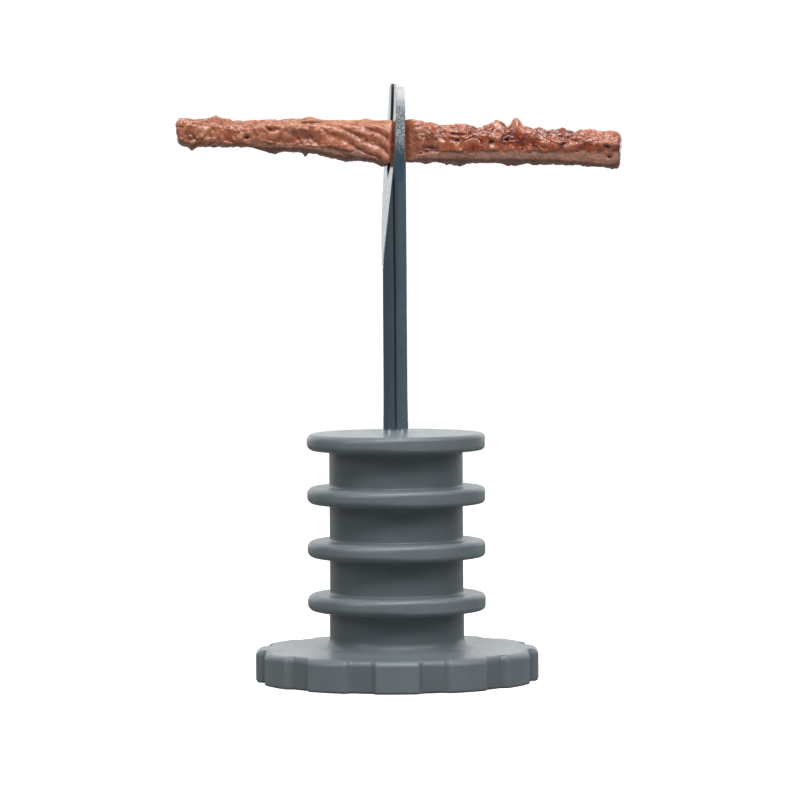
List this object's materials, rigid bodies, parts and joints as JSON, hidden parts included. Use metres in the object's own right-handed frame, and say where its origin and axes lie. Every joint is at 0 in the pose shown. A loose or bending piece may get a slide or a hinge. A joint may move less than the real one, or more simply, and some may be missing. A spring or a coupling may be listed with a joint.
{
  "type": "tyre plug insertion tool",
  "caption": "Handlebar-end plug with a scalloped cap and sealing fins, carrying a slotted steel fork threaded with a sticky tyre repair strip.",
  "frame": {"origin": "centre of the cap's flat outer face, on the shaft's axis; the tool stands on this face", "axes": "+Z along the shaft from the cap to the fork's tip, +X along the repair strip"},
  "size_m": [0.05, 0.0318, 0.067],
  "materials": {
    "moulded_handle": "fine matte mould texture",
    "steel": "polished shaft, ground fork faces",
    "anchor_metal": "knurled",
    "disc_plastic": "satin",
    "repair_rubber": "tacky, uneven gloss"
  },
  "bodies": {
    "handle": {"scalloped_cap": "moulded_handle", "plug_barrel": "moulded_handle", "sealing_fin_1": "moulded_handle", "sealing_fin_2": "moulded_handle", "sealing_fin_3": "moulded_handle", "sealing_fin_4": "moulded_handle", "fork": "steel", "shank_anchor": "anchor_metal", "end_disc": "disc_plastic"},
    "strip_web": {"strip_middle": "repair_rubber"},
    "left_tail": {"strip_tail_left": "repair_rubber"},
    "right_tail": {"strip_tail_right": "repair_rubber"}
  },
  "joints": [
    {"name": "strip_release", "type": "slide", "parent": "handle", "child": "strip_web", "axis": [0, 0, 1], "range_m": [-0.0006, 0.012]},
    {"name": "strip_tail_left_fold", "type": "hinge", "parent": "strip_web", "child": "left_tail", "pos_m": [-0.00363, 0, 0.0603], "axis": [0, -1, 0], "range_deg": [0, 80]},
    {"name": "strip_tail_right_fold", "type": "hinge", "parent": "strip_web", "child": "right_tail", "pos_m": [0.00393, 0, 0.0603], "axis": [0, 1, 0], "range_deg": [0, 80]}
  ]
}
